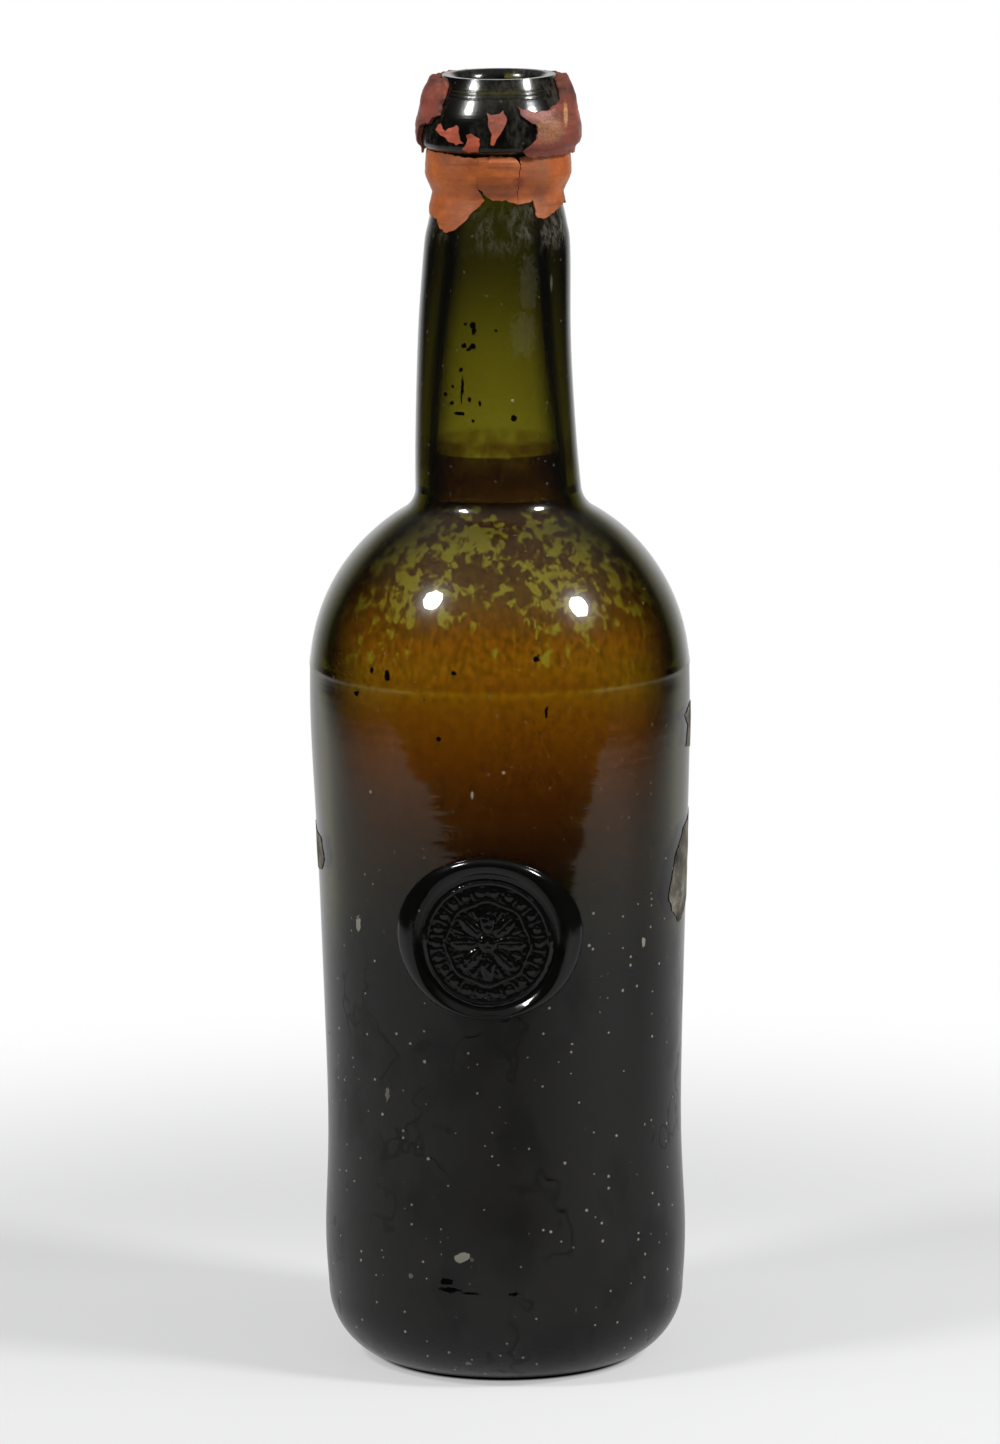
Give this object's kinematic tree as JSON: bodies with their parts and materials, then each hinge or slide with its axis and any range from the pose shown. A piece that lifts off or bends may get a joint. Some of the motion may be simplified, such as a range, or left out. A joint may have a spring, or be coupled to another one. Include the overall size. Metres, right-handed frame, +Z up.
{
  "type": "wine bottle",
  "caption": "Antique cylinder wine bottle in dark olive glass: round shoulder, laid-on collar over a string ring, applied glass seal, broken wax skirt, wine crust inside.",
  "frame": {"origin": "centre of the flat foot ring, in the plane the bottle stands on", "axes": "+Z up the bottle, -Y out of the front, where the glass seal is, +X to the right of someone facing the seal"},
  "size_m": [0.0852, 0.0861, 0.2874],
  "materials": {
    "olive_glass": "dark olive bottle glass, glossy with faint ripples and seed bubbles",
    "finish_glass": "the same glass where it is thick, near black and glossy",
    "seal_glass": "the same glass, near black, fire-polished rim, softly stamped field",
    "wax_skirt": "old sealing wax, orange-brown, satin, brittle broken edges",
    "wax_collar": "old sealing wax, rubbed and darker, red-brown",
    "wine_crust": "dried wine deposit, brown to amber, flaked",
    "old_paper": "stained bare paper, torn edges"
  },
  "bodies": {
    "root": {"bottle_body": "olive_glass", "lip_collar": "finish_glass", "string_ring": "finish_glass", "glass_seal": "seal_glass", "wine_crust": "wine_crust", "wax_skirt_left": "wax_skirt", "wax_skirt_front": "wax_skirt", "wax_skirt_right": "wax_skirt", "wax_skirt_back": "wax_skirt", "wax_collar_left": "wax_collar", "wax_collar_right": "wax_collar", "wax_flake_left": "wax_collar", "wax_flake_middle": "wax_collar", "wax_flake_right": "wax_collar", "label_scrap_upper": "old_paper", "label_scrap_lower": "old_paper", "label_scrap_left": "old_paper"}
  },
  "joints": []
}
